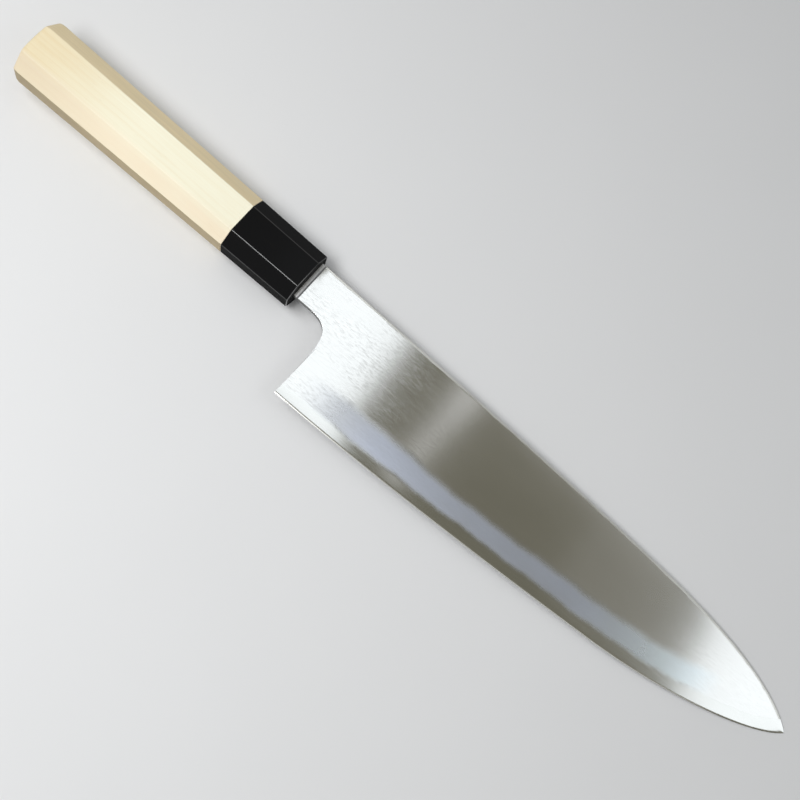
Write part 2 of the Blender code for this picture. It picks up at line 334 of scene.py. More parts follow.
claddingLook = {
    "colour": (0.74, 0.745, 0.75),
    "roughness": 0.118,
    "pointRoughness": 0.147,
    "pointEnds": (0.120, 0.190),  # metres along the knife, where the finish turns coarser
    "anisotropy": 0.45,
    "worn": (0.66, 0.66, 0.645),  # on the roundings
    "wornLean": (0.05, 0.3),  # how far they face the spine
    "wornRoughness": 0.55,
    "strip": (0.75, 0.75, 0.73),  # a brighter strip just below the spine: painted sheen, for the reflection of a slight rise there
    "stripDepth": (0.3, 1.3),  # mm
    "stripRoughness": 0.42,
    "nicks": 0.9,  # mm by which its lower side wavers
    "nickScale": (120, 900, 0),
    "neck": (0.88, 0.88, 0.90),
    "neckEnds": (0.0020, 0.00212),
    "neckRoughness": 0.45,
    # painted shade: the dark line where the face steps down to the neck strip
    "shoulder": (0.19, 0.19, 0.20),
    "shoulderEnds": (0.0011, 0.0017),
    "rubbedEnds": (0.045, 0.095),  # metres along the knife, where the rubbed look fades
    "rubbedLeft": 0.25,  # what stays of it beyond
    "mottleScale": (330, 1250, 0),
    "patchMottle": (0.42, 0.68),  # patches lie where both mottle and cloud are high
    "patchCloud": (0.35, 0.6),
    "patchShade": 0.09,
    "patchRoughness": 0.05,
    "streakShade": 0.16,
    "streakRoughness": 0.05,
    "scratchShade": 0.06,
    "scratchDepth": 0.8,
    "cloudShade": 0.10,
    "tone": 0.995,
    "waveScale": (34, 60, 0),
    "fineBump": (0.05, 0.00003),  # strength, depth in metres
    "mottleBump": (0.030, 0.00008),
    "waveBump": (0.045, 0.0002),
}
coreLook = {
    "colour": (0.72, 0.73, 0.73),
    "roughness": 0.118,
    "pointRoughness": 0.150,
    "pointEnds": (0.120, 0.190),
    "anisotropy": 0.4,
    "honed": (0.62, 0.62, 0.60),  # the small bevel at the edge
    "honedLean": (-0.14, -0.2),
    "honedRoughness": 0.15,
    "streakShade": 0.12,
    "streakRoughness": 0.08,
    "cloudShade": 0.12,
    "bump": (0.04, 0.00002),
}


def steelBase(name, look):
    # What cladding and core share: marks, haze and a finish that changes along the blade.
    material, tree, shader = newMaterial(name)
    place = placeIn(tree)
    marks = useGroup(tree, polishMarks, Place=stretch(place, (1, 1, 0)))
    band = useGroup(tree, hazeBand, Place=place, Above=attribute(tree, "aboveLine"))
    far = smoothStep(split(place)[0], *look.pointEnds)
    rough = mixValue(far, look.roughness, look.pointRoughness)
    tangent = addNode(tree, "ShaderNodeTangent", direction_type="UV_MAP", uv_map="bladeMap")
    # a quarter turn spreads the light across the marks
    setInputs(shader, {"Metallic": 1.0, "Anisotropic": look.anisotropy,
                       "Anisotropic Rotation": 0.25, "Tangent": tangent})
    return material, tree, shader, place, marks, band, rough


def facingUp(tree, low, high):
    # From 0 to 1 between two leans towards the spine; the faces themselves hardly lean.
    return smoothStep(split(coordinate(tree, "Normal"))[1], low, high)


def claddingSteel():
    look = SimpleNamespace(**claddingLook)
    material, tree, shader, place, marks, band, rough = steelBase("satinCladding", look)
    cloud = band["Cloud"]
    x = split(place)[0]
    neck = smoothStep(x, *look.neckEnds, 1.0, 0.0)
    # painted shade over the shoulder's rise, between the neck strip and the face
    shoulder = smoothStep(x, *look.shoulderEnds)
    worn = facingUp(tree, *look.wornLean)
    nicks = look.nicks * (noise(place, look.nickScale) - 0.5)
    # painted sheen: a brighter, rougher strip just below the spine
    strip = smoothStep(attribute(tree, "belowSpine") + nicks, *look.stripDepth, 1.0, 0.0)
    # rubbed patches and streaks are strongest near the neck and fade towards the point
    rubbed = smoothStep(x, *look.rubbedEnds, 1.0, look.rubbedLeft)
    mottle = noise(place, look.mottleScale, 2.0, 0.6)
    patches = smoothStep(mottle, *look.patchMottle) * smoothStep(cloud, *look.patchCloud) * rubbed
    streaks = rubbed * (marks["Streaks"] - 0.5)
    scratches = rubbed * marks["Scratches"]

    colour, rough = layered(
        look.colour, rough,
        (band["Haze"], band["Tint"], band["Dullness"]),
        (strip, look.strip, look.stripRoughness),
        (neck, mixColour(shoulder, look.neck, look.shoulder), look.neckRoughness),
        (worn, look.worn, look.wornRoughness),
    )
    shade = (1 - look.patchShade * patches) * (look.tone + look.streakShade * streaks)
    shade = shade * swing(cloud, look.cloudShade) + look.scratchShade * scratches
    rough = rough + look.patchRoughness * patches + look.streakRoughness * streaks
    fine = bumped(marks["Streaks"] - look.scratchDepth * scratches, *look.fineBump)
    small = bumped(mottle * rubbed, *look.mottleBump, fine)
    broad = bumped(noise(place, look.waveScale, 1.0), *look.waveBump, small)
    setInputs(shader, {"Base Color": shadeBy(colour, shade), "Roughness": rough, "Normal": broad})
    return material


def coreSteel():
    look = SimpleNamespace(**coreLook)
    material, tree, shader, _, marks, band, rough = steelBase("polishedCore", look)
    streaks = marks["Streaks"]
    colour, rough = layered(
        look.colour, rough,
        (band["Haze"], band["Tint"], band["Dullness"]),
        (facingUp(tree, *look.honedLean), look.honed, look.honedRoughness),
    )
    shade = swing(streaks, look.streakShade) * swing(band["Cloud"], look.cloudShade)
    setInputs(shader, {
        "Base Color": shadeBy(colour, shade),
        "Roughness": rough + look.streakRoughness * (streaks - 0.5),
        "Normal": bumped(streaks, *look.bump),
    })
    return material


wallLook = {
    # the narrow walls of spine, neck and choil, ground across and darker: painted shade for the
    # dark reflection in these walls
    "dark": (0.13, 0.13, 0.125),
    "light": (0.24, 0.24, 0.23),
    "grain": ((900, 900, 160), 2, 0.5),  # fineness, detail and roughness
    "metallic": 1.0,
    "roughness": 0.28,
    "grainRoughness": 0.2,
    "bump": (0.2, 0.00003),
}
beddingLook = {
    "dark": (0.30, 0.22, 0.12),
    "light": (0.50, 0.40, 0.25),
    "grain": ((1500, 1500, 1500), 4, 0.6),
    "metallic": 0.0,
    "roughness": 0.5,
    "grainRoughness": 0.2,
    "bump": (0.5, 0.0001),
}


def grainMaterial(name, look):
    # One noise gives colour, roughness and bump.
    look = SimpleNamespace(**look)
    material, tree, shader = newMaterial(name)
    grain = noise(placeIn(tree), *look.grain)
    setInputs(shader, {
        "Base Color": mixColour(grain, look.dark, look.light),
        "Metallic": look.metallic,
        "Roughness": look.roughness + look.grainRoughness * grain,
        "Normal": bumped(grain, *look.bump),
    })
    return material


woodLook = {
    "pale": (0.935, 0.915, 0.735),
    "deep": (0.78, 0.65, 0.41),
    "roughness": 0.52,
    "fibreRoughness": 0.16,
    "specular": 0.35,
    # the grain: how fine each noise is along and across, and its share in the tone
    "bend": 0.0032,  # metres by which the grain wanders
    "bendScale": (9, 55, 55),
    "driftScale": (22, 85, 85),
    "driftTurn": (0, 0, 0.06),
    "driftShare": 0.5,
    "fibreScale": (20, 900, 900),
    "fibreShare": 0.5,
    "hairScale": (55, 3200, 3200),
    "ringShare": 0.15,
    "ringSpacing": 0.0023,
    "ringCentre": (0.0, -0.085, -0.030),  # the log's middle lies well below the grip
    "ringRise": 2.6,  # a slow rise and a sudden end, as one year's growth
    # how much deeper each place is, and how far a side leans there
    "grainTone": 0.8,
    # painted shade, deeper towards the butt
    "buttTone": 0.62,
    "buttEnds": (-0.142, -0.080),
    "chamferTone": 0.80,  # painted shade on the chamfer on the spine's side
    "chamferLean": (0.25, 0.6),
    # painted shade on both narrow sides
    "narrowTone": 0.95,
    "narrowLean": (0.72, 0.95),
    "sideFibre": 0.26,  # grain on chamfer and narrow sides
    "sideDrift": 0.34,
    "endTone": 0.22,  # end grain on the butt
    "endRingTone": 0.45,
    "endLean": (-0.6, -0.9),
    "pink": (0.90, 0.76, 0.56),  # low on the grip
    "pinkShare": 0.75,
    "lowEnds": (-0.0045, -0.0090),  # metres below the middle
    "lowWander": 0.006,
    "lowFade": (0.2, 0.6, 0.6, 1.0),
    # painted shade, darker low on the grip near the butt
    "lowButtShade": 0.87,
    "worn": (0.93, 0.88, 0.76),  # along the ridges
    "wornShare": 0.18,
    "under": (0.60, 0.57, 0.475),  # painted shade on the narrow side towards the edge
    "underLean": (-0.75, -0.92),
    "fleck": (0.60, 0.47, 0.28),
    "fleckShare": 0.30,
    "poreScale": (150, 2600, 2600),
    "poreEnds": (0.05, 0.24),
    "poreDrift": (0.45, 0.65),
    "depths": (0.7, 0.3, -0.4),  # of fibre, hair and flecks
    "bump": (0.25, 0.00006),
}


def paleWood():
    material, tree, shader = newMaterial("paleWood")
    look = SimpleNamespace(**woodLook)
    place = placeIn(tree)
    wander = vectorMath("SUBTRACT", noise(place, look.bendScale, output="Color"), (0.5,) * 3)
    bent = vectorMath("ADD", place, vectorMath("MULTIPLY", wander, (look.bend,) * 3))
    _, y, z = split(vectorMath("SUBTRACT", bent, look.ringCentre))
    rings = calc("SQRT", y ** 2 + z ** 2) / look.ringSpacing
    ring = calc("FRACT", rings) ** look.ringRise
    drift = noise(bent, look.driftScale, 3.0, 0.6, turn=look.driftTurn)
    fibre = noise(bent, look.fibreScale, 3.0, 0.62)
    hair = noise(place, look.hairScale, 1.0)
    tone = look.driftShare * drift + look.ringShare * ring
    tone = tone + look.fibreShare * (fibre - 0.5)

    # painted shade: the chamfer on the spine's side and both narrow sides are made deeper in tone
    faceX, faceY, _ = split(coordinate(tree, "Normal"))
    placeX, placeY, _ = split(place)
    nearButt = smoothStep(placeX, *look.buttEnds, 1.0, 0.0)
    shadedChamfer = smoothStep(faceY, *look.chamferLean, 0.0, look.chamferTone)
    narrow = smoothStep(abs(faceY), *look.narrowLean, 0.0, look.narrowTone)
    side = calc("MAXIMUM", shadedChamfer, narrow)
    endGrain = look.endTone + look.endRingTone * ring
    # painted shade towards the butt and on the chamfer and narrow sides
    tone = look.grainTone * tone + (look.buttTone * nearButt + side)
    tone = tone + smoothStep(faceX, *look.endLean) * endGrain
    colour = mixColour(tone.clamped(), look.pale, look.deep)

    # pink low down, worn ridges, and painted shade on the narrow side towards the edge and low near
    # the butt
    low = smoothStep(placeY + look.lowWander * (drift - 0.5), *look.lowEnds)
    low = low * smoothStep(drift, *look.lowFade)
    colour = mixColour(look.pinkShare * low, colour, look.pink)
    ridge = useGroup(tree, ridges)["Ridge"]
    colour = mixColour(look.wornShare * ridge, colour, look.worn)
    under = mixColour(smoothStep(faceY, *look.underLean), (1, 1, 1), look.under)
    colour = mixColour(1.0, colour, under, "MULTIPLY")
    uneven = look.sideFibre * (fibre - 0.5) + look.sideDrift * (drift - 0.5)
    # painted shade low near the butt
    shade = mixValue(low * nearButt, 1.0, look.lowButtShade)
    colour = shadeBy(colour, shade * (1 + side * uneven))

    pores = addNode(tree, "ShaderNodeTexVoronoi",
                    {"Vector": stretch(bent, look.poreScale), "Scale": 1.0}, "Distance")
    fleck = smoothStep(pores, *look.poreEnds, 1.0, 0.0) * smoothStep(drift, *look.poreDrift)
    fibreDepth, hairDepth, fleckDepth = look.depths
    height = fibreDepth * fibre + hairDepth * hair + fleckDepth * fleck
    setInputs(shader, {
        "Base Color": mixColour(look.fleckShare * fleck, colour, look.fleck),
        "Roughness": look.roughness + look.fibreRoughness * (fibre - 0.5),
        "Specular IOR Level": look.specular,
        "Normal": bumped(height, *look.bump),
    })
    return material


hornLook = {
    "black": (0.0084, 0.0084, 0.0086),
    "roughness": 0.11,
    "refraction": 1.10,
    "fineness": 0.8,
    "slant": 0.02,
    "streakRoughness": 0.08,
    "scratchDepth": 0.6,
    "bump": (0.06, 0.00003),
    "marble": (0.011, 0.010, 0.009),
    "marbleNoise": ((40, 260, 260), 4, 0.6, 0.6),
    "marbleEnds": (0.55, 0.8),
    "marbleRoughness": 0.05,
    "rubbed": (0.03, 0.03, 0.03),  # along the ridges
    "rim": (0.13, 0.13, 0.13),  # painted highlight on the front rim, strongest on its lower half
    "rimLean": (0.12, 0.3),
    "rimEnds": (0.0060, -0.0050),
    "glint": 0.9,  # on rim and ridges
    "glintRoughness": 0.12,
    "frontLean": (0.85, 0.97),
    "frontRoughness": 0.6,
    "narrowLean": (0.80, 0.95),  # the two narrow sides, dulled by the hand
    "narrowRoughness": 0.60,
}


def blackHorn():
    material, tree, shader = newMaterial("blackHorn")
    look = SimpleNamespace(**hornLook)
    place = placeIn(tree)
    marks = useGroup(tree, polishMarks, Place=place, Fineness=look.fineness, Slant=look.slant)
    marble = smoothStep(noise(place, *look.marbleNoise), *look.marbleEnds)
    ridge = useGroup(tree, ridges)["Ridge"]
    faceX, faceY, _ = split(coordinate(tree, "Normal"))
    front = smoothStep(faceX, *look.frontLean)
    narrow = smoothStep(abs(faceY), *look.narrowLean)
    rim = (smoothStep(faceX, *look.rimLean) - front).clamped()
    # painted highlight along the lower half of the front rim
    paintedRimGlint = rim * smoothStep(split(place)[1], *look.rimEnds)
    colour = mixColour(marble, look.black, look.marble)
    colour = mixColour(ridge, colour, look.rubbed)
    rough = look.roughness + look.streakRoughness * (marks["Streaks"] - 0.5)
    rough = mixValue(front, rough + look.marbleRoughness * marble, look.frontRoughness)
    height = marks["Streaks"] - look.scratchDepth * marks["Scratches"]
    setInputs(shader, {
        "Base Color": mixColour(paintedRimGlint, colour, look.rim),
        "Roughness": mixValue(narrow, rough, look.narrowRoughness),
        "Coat Weight": look.glint * calc("MAXIMUM", rim, ridge),
        "Coat Roughness": look.glintRoughness,
        "IOR": look.refraction,
        "Normal": bumped(height, *look.bump),
    })
    return material


satinCladding = claddingSteel()
polishedCore = coreSteel()
# painted shade on the blade's narrow walls
shadedGroundWall = grainMaterial("shadedGroundWall", wallLook)
woodMaterial = paleWood()
hornMaterial = blackHorn()
beddingMaterial = grainMaterial("castBedding", beddingLook)
print("materials ready")


def meshFrom(bm, name):
    mesh = bpy.data.meshes.new(name)
    bm.to_mesh(mesh)
    bm.free()
    return mesh


def countFaces(*pieces):
    return sum(len(piece.data.polygons) for piece in pieces)


def finishedMesh(piece):
    # a plain mesh of the piece with its modifiers applied
    evaluated = piece.evaluated_get(bpy.context.evaluated_depsgraph_get())
    return bpy.data.meshes.new_from_object(evaluated)


def evenShading(piece, sharpAngle):
    # Wide faces keep their own direction and the narrow roundings blend between them.
    piece.data.shade_smooth()
    piece.data.set_sharp_from_angle(angle=math.radians(sharpAngle))
    modifier = piece.modifiers.new("even", "WEIGHTED_NORMAL")
    modifier.keep_sharp = True
    made = finishedMesh(piece)
    piece.modifiers.clear()
    old, piece.data = piece.data, made
    name = old.name
    bpy.data.meshes.remove(old)
    made.name = name
    return piece


bladeShape = {
    # metres, in the knife's own directions
    "neckStart": 0.0021,
    "spineHeight": 0.0095,
    "neckBottom": -0.0076,
    "neckStraight": 0.0047,
    "choilEnd": (0.0198, -0.0239),
    "heel": (0.0194, -0.0410),
    "point": (0.2484, -0.01185),
    "spineTurn": (0.1800, 0.00545),
    "belly": (0.1700, -0.0337),
    # curve handles, as shares of what each curve spans
    "spineHandles": ((0.34, -0.0034), (-0.28, 0.0151), (0.395, -0.0213), (-0.178, 0.158)),
    "edgeHandles": ((0.333, 0.0), (-0.263, -0.021), (0.383, 0.0306), (-0.134, -0.131)),
    "choilHandles": (0.714, 0.875),
    "curveSteps": 400,
    "tangLength": 0.0920,
    "tangHeights": (0.0105, 0.0050),
    "tangThicknesses": (0.0030, 0.0018),
    "tangPoint": (0.004, 0.4),  # its length, and the share of the height left at its end
    "frontGap": 0.00004,  # from the ferrule's front to the shoulder
    "shoulder": 0.0006,  # length of the rise from the strip to the face
    "neckThickness": 0.0033,
    "heelBevelThickness": 0.00224,
    "pointThickness": 0.0007,
    "pointTaperHeight": 0.0060,
    "bevelFullness": 1.6,
    "bevelFall": 2.2,  # higher keeps the bevel tall further towards the point
    "edgeBevelHeight": 0.0005,
    "edgeBevelThickness": 0.00024,
    "edgeBevelShare": 0.2,  # at most this share of a line's height
    "spineEase": 0.0003,
    "choilEase": 0.00012,
    "easeShares": (0.1, 0.85),  # at most these of the face's width and the cladding's thickness
    "leastBevel": 0.4,  # share of the cladding that the bevel takes at least
    "coreBand": 0.0050,
    # length, height and start of each wave in the core's line
    "lineWaves": ((0.034, 0.00020, 0.4), (0.0152, 0.00015, 2.1), (0.0061, 0.00007, 0.7),
                  (0.0027, 0.00004, 4.0)),
    "leastCladding": 0.0004,
    "slopeStep": 0.0005,  # either way along the edge, to tell how it climbs
    "seam": 0.00002,  # left between core and cladding
    "stations": 430,
    "stationCrowding": 1.25,  # stations crowd towards the point
    "heelStation": 0.0004,  # share at which the heel's easing ends
    "choilStations": 60,
    "bevelRows": 14,
    "coreRows": 10,
    "mapScale": 10,  # map units in a metre
    "sharpAngle": 26,
}
shape = SimpleNamespace(**bladeShape)
heel, point, choilEnd = map(Vector, (shape.heel, shape.point, shape.choilEnd))


def curveThrough(*knots):
    path = []
    for (start, _, ahead), (end, back, _) in zip(knots, knots[1:]):
        piece = interpolate_bezier(start, start + ahead, end + back, end, shape.curveSteps)
        path += [(place.x, place.y) for place in piece]
    return np.array(path)


def curveToPoint(start, turn, handles):
    first, second = turn.x - start.x, point.x - turn.x
    leave, arrive, onward, end = map(Vector, handles)
    return curveThrough((start, None, leave * first), (turn, arrive * first, onward * second),
                        (point, end * second, None))


def choilCurve():
    start = Vector((shape.neckStart + shape.neckStraight, shape.neckBottom))
    ahead, back = shape.choilHandles
    back = back * (shape.neckBottom - choilEnd.y) * (choilEnd - heel).normalized()
    return curveThrough((start, None, Vector((ahead * (choilEnd.x - start.x), 0.0))),
                        (choilEnd, back, None))


spinePath = curveToPoint(Vector((shape.neckStart, shape.spineHeight)),
                         Vector(shape.spineTurn), shape.spineHandles)
edgePath = curveToPoint(heel, Vector(shape.belly), shape.edgeHandles)
choilPath = choilCurve()


def along(path, x):
    return Vector((x, float(np.interp(x, path[:, 0], path[:, 1]))))


def heelLineTop():
    # The heel's line carried on up to the spine, found in a few steps.
    lean = (choilEnd.x - heel.x) / (choilEnd.y - heel.y)
    x = choilEnd.x
    for _ in range(6):
        x = heel.x + lean * (along(spinePath, x).y - heel.y)
    return along(spinePath, x)


heelTop = heelLineTop()
heelSpan = (heelTop - heel).length
heelBevel = (choilEnd - heel).length


def flatFace():
    # The plane of the flat upper face, through three half thicknesses.
    rows = [(shape.neckStart, shape.spineHeight, 1.0), (*choilEnd, 1.0), (*point, 1.0)]
    halves = np.array((shape.neckThickness, shape.heelBevelThickness, shape.pointThickness)) / 2
    return np.linalg.solve(np.array(rows), halves)


flat = flatFace()


def flatHalf(place):
    return float(flat[0] * place.x + flat[1] * place.y + flat[2])


class Station:
    # One line across the blade, from its edge up to its spine.
    def __init__(self, share):
        crowded = (1 - share) ** shape.stationCrowding
        edgeX = heel.x + (1 - crowded) * (point.x - heel.x)
        lean = (heelTop.x - heel.x) * (1 - share) ** 2
        self.edge = along(edgePath, edgeX)
        self.spine = heelTop if share == 0 else along(spinePath, edgeX + lean)
        self.span = (self.spine - self.edge).length
        self.bevel = heelBevel * (1 - max(0.0, 1 - self.span / heelSpan) ** shape.bevelFall)
        self.edgeBevel = min(shape.edgeBevelHeight, shape.edgeBevelShare * self.span)
        wave = sum(high * math.sin(math.tau * edgeX / long + turn)
                   for long, high, turn in shape.lineWaves)
        # the line keeps its distance from the edge where the edge climbs to the point
        step = shape.slopeStep
        near = min(edgeX, point.x - 1.2 * step)
        slope = (along(edgePath, near + step).y - along(edgePath, near - step).y) / (2 * step)
        self.line = (shape.coreBand + wave) * math.sqrt(1 + slope ** 2)
        if self.span - self.line < shape.leastCladding:
            self.line = self.span
        self.fade = 1 - max(0.0, 1 - self.span / shape.pointTaperHeight) ** 2
        self.rim = share == 0

    def place(self, height):
        if self.span < 1e-9:
            return self.edge.copy()
        return self.edge.lerp(self.spine, height / self.span)

    def half(self, height):
        if height <= 0 or self.span < 1e-9:
            return 0.0
        if height >= self.bevel:
            return self.fade * flatHalf(self.place(height))
        small = shape.edgeBevelThickness / 2 * self.fade
        if height <= self.edgeBevel:
            return small * height / self.edgeBevel
        top = self.fade * flatHalf(self.place(self.bevel))
        rise = (height - self.edgeBevel) / (self.bevel - self.edgeBevel)
        return small + (top - small) * (1 - (1 - rise) ** shape.bevelFullness)


shares = [0.0, shape.heelStation]
shares += [k / shape.stations for k in range(1, shape.stations + 1)]
stations = [Station(share) for share in shares]
neckCore = stations[0].half(stations[0].line)
heelHeight = stations[0].line


def neckSlices():
    # Upright slices of tang, shoulder and neck: top, bottom, half thickness, core's half.
    slices = []
    end = -shape.tangLength
    pointLength, pointShare = shape.tangPoint
    for x, part in ((end, pointShare), (end + pointLength, 1.0), (0.0, 1.0)):
        share = -x / shape.tangLength
        height = np.interp(share, (0, 1), shape.tangHeights)
        thick = np.interp(share, (0, 1), shape.tangThicknesses)
        core = neckCore * thick / shape.tangThicknesses[0]
        slices.append((Vector((x, part * height / 2)), Vector((x, -part * height / 2)),
                       lambda _, t=thick: t / 2, core))
    for x in (shape.frontGap, shape.neckStart - shape.shoulder):
        slices.append((Vector((x, shape.spineHeight)), Vector((x, shape.neckBottom)),
                       lambda _: shape.tangThicknesses[0] / 2, neckCore))
    picks = np.linspace(0, len(choilPath) - 1, shape.choilStations).astype(int)
    bottoms = [Vector((shape.neckStart, shape.neckBottom))]
    bottoms += [Vector(choilPath[k]) for k in picks[:-1]]
    steps = [0.0] + [(b - a).length for a, b in zip(bottoms, bottoms[1:])]
    total = sum(steps) + (choilEnd - bottoms[-1]).length
    for bottom, share in zip(bottoms, np.cumsum(steps) / total):
        topX = shape.neckStart + share * (heelTop.x - shape.neckStart)
        slices.append((along(spinePath, topX), bottom, flatHalf, neckCore))
    return slices


# roundings as pairs: how far in from the edge, how much of the thickness is lost
def roundingSteps(*degrees):
    return [(1 - math.cos(a), 1 - math.sin(a)) for a in map(math.radians, degrees)]


spineRound = roundingSteps(0, 22.5, 45, 67.5, 90)
choilRound = roundingSteps(90, 60, 30, 0)
flatShares = (0.25, 0.5, 0.75)


class Sheet:
    # A grid of places: each with its height above the edge and the core's line, and its
    # depth below the spine.
    def __init__(self, side):
        self.side = side
        self.rows = []

    def add(self, cells, missing=0):
        row = [((*place, self.side * half), high, over, deep)
               for place, half, high, over, deep in cells]
        self.rows.append(row + [None] * missing)


def claddingSheets(side):
    outer, inner = Sheet(side), Sheet(side)
    below = shape.bevelRows
    ease, soft = shape.spineEase, shape.choilEase
    widthShare, depthShare = shape.easeShares
    for top, bottom, half, core in neckSlices():
        down = (bottom - top).normalized()
        span = (bottom - top).length
        deep = [(ease * drop, ease * lose) for drop, lose in spineRound]
        deep += [(ease + (span - ease - soft) * part, 0.0) for part in flatShares]
        deep += [(span - soft * drop, soft * lose) for drop, lose in choilRound]
        cells = []
        for depth, lose in deep:
            place = top + down * depth
            high = place.y - heel.y
            cells.append((place, half(place) - lose, high, high - heelHeight, depth))
        outer.add(cells, below)
        inner.add([(place, core + shape.seam, *rest) for place, _, *rest in cells], below)
    for station in stations:
        bond = station.half(station.line)
        line, span = station.line, station.span
        if line >= span:
            # the core fills the rest of the point
            last = [(station.spine, bond, span, 0.0, 0.0)] * (len(deep) + below)
            outer.add(last)
            inner.add(last)
            break
        ease = min(shape.spineEase, (station.half(span) - bond) / 2)
        bevel = max(station.bevel, line + shape.leastBevel * (span - line))
        soft = min(shape.choilEase, widthShare * (span - bevel))
        heights = [(span - ease * drop, ease * lose) for drop, lose in spineRound]
        heights += [(span - ease - (span - ease - bevel - soft) * part, 0.0) for part in flatShares]
        heights += [(bevel + soft * drop, soft * lose * station.rim) for drop, lose in choilRound]
        for k in range(1, below + 1):
            high = bevel + (line - bevel) * k / below
            lose = min(shape.choilEase, depthShare * (station.half(high) - bond))
            heights.append((line if k == below else high, lose * station.rim))
        cells = [(station.place(h), station.half(h) - lose, h, h - line, span - h)
                 for h, lose in heights]
        if station.rim:
            heelCells, heelLosses = cells, [lose for _, lose in heights]
        elif station is stations[1]:
            # the eased corner of the heel narrows to nothing where the cladding thins out
            for k in range(-below, 0):
                share = heelLosses[k] / shape.choilEase
                cells[k] = (heelCells[k][0].lerp(cells[k][0], share), *cells[k][1:])
        outer.add(cells)
        inner.add([(place, bond, *rest) for place, _, *rest in cells])
    return outer, inner


def coreSheet(side):
    sheet = Sheet(side)
    rows = shape.coreRows
    for top, bottom, _, core in neckSlices():
        cells = []
        for part in (0.0, 0.5, 1.0):
            place = top.lerp(bottom, part)
            high = place.y - heel.y
            cells.append((place, core, high, high - heelHeight, (top - place).length))
        sheet.add(cells, rows + 3)
    for station in stations:
        line, span = station.line, station.span
        bond = station.half(line) - (shape.seam if line < span else 0.0)
        bevel = max(station.bevel, line)
        small = station.edgeBevel
        heights = [span, (span + bevel) / 2, bevel]
        heights += [small + (line - small) * (1 - k / rows) for k in range(rows + 1)]
        heights += [small * 0.5, 0.0]
        sheet.add([(station.place(h), min(bond, station.half(h)), h, h - line, span - h)
                   for h in heights])
    return sheet


def closeSheets(name, first, second, faceMaterial, rimMaterial):
    # Skins both sheets, joins their rims and lays the piece down.
    bm = bmesh.new()
    uvLayer = bm.loops.layers.uv.new("bladeMap")
    overLayer = bm.verts.layers.float.new("aboveLine")  # mm
    belowLayer = bm.verts.layers.float.new("belowSpine")  # mm
    heightOf, opposite = {}, {}

    def addVert(cell):
        if cell is None:
            return None
        place, high, over, deep = cell
        vert = bm.verts.new(place)
        vert[overLayer], vert[belowLayer] = over * 1000, deep * 1000
        heightOf[vert] = high
        return vert

    grids = [[[addVert(cell) for cell in row] for row in sheet.rows] for sheet in (first, second)]
    for rowA, rowB in zip(*grids):
        opposite.update({a: b for a, b in zip(rowA, rowB) if a})
    for number, grid in enumerate(grids):
        for near, far in zip(grid, grid[1:]):
            for j in range(len(near) - 1):
                corners = (near[j], near[j + 1], far[j + 1], far[j])
                if all(corners):
                    bm.faces.new(corners if number == 0 else corners[::-1])
    rims = [edge for edge in bm.edges if len(edge.link_faces) == 1 and edge.verts[0] in opposite]
    for edge in rims:
        loop = edge.link_loops[0]
        start, end = loop.vert, loop.link_loop_next.vert
        face = bm.faces.new((end, start, opposite[start], opposite[end]))
        face.material_index = 1
    size = shape.mapScale
    for face in bm.faces:
        for loop in face.loops:
            loop[uvLayer].uv = (loop.vert.co.x * size, heightOf[loop.vert] * size)
    bmesh.ops.remove_doubles(bm, verts=bm.verts, dist=1e-7)
    bmesh.ops.recalc_face_normals(bm, faces=bm.faces)
    mesh = meshFrom(bm, name)
    mesh.materials.append(faceMaterial)
    mesh.materials.append(rimMaterial)
    mesh.transform(knifeToWorld)
    return evenShading(addObject(name, mesh), shape.sharpAngle)


coreBlade = closeSheets("coreBlade", coreSheet(1), coreSheet(-1), polishedCore, shadedGroundWall)
rightCladding = closeSheets("rightCladding", *claddingSheets(1), satinCladding, shadedGroundWall)
leftCladding = closeSheets("leftCladding", *claddingSheets(-1), satinCladding, shadedGroundWall)
print("blade ready:", countFaces(coreBlade, rightCladding, leftCladding), "faces")


# grip and ferrule come from one tree, which sweeps an octagon along the handle
gripShape = {
    # metres; height, thickness and facets at the butt
    "buttX": -0.14036,
    "jointX": -0.0332,
    "Height": 0.0270,
    "Thickness": 0.0210,
    "Side Facet": 0.0140,
    "Top Facet": 0.0094,
    "frontShare": 0.0238 / 0.0270,
    "jointGap": 0.00010,
    "sanded": 0.9936,  # finished size over raw size
    "ridgeSteps": 4,  # round each softened ridge
    "sideCuts": 3,  # across each side
    "sharpAngle": 40,
}
octagonSizes = ("Height", "Thickness", "Side Facet", "Top Facet")
gripLook = {"Ridge Softness": 0.0008, "Start Inset": 0.072, "Start Length": 0.0034,
            "Start Dome": 0.0008, "Start Bow": 7.0, "Bow Reach": 0.014, "End Inset": 0.010,
            "End Length": 0.00016, "Rings": 130}
ferruleLook = {"Ridge Softness": 0.0008, "Start Inset": 0.010, "Start Length": 0.00016,
               "Start Dome": 0.00002, "Start Bow": 0.0, "Bow Reach": 0.001, "End Inset": 0.032,
               "End Length": 0.00042, "Rings": 60}


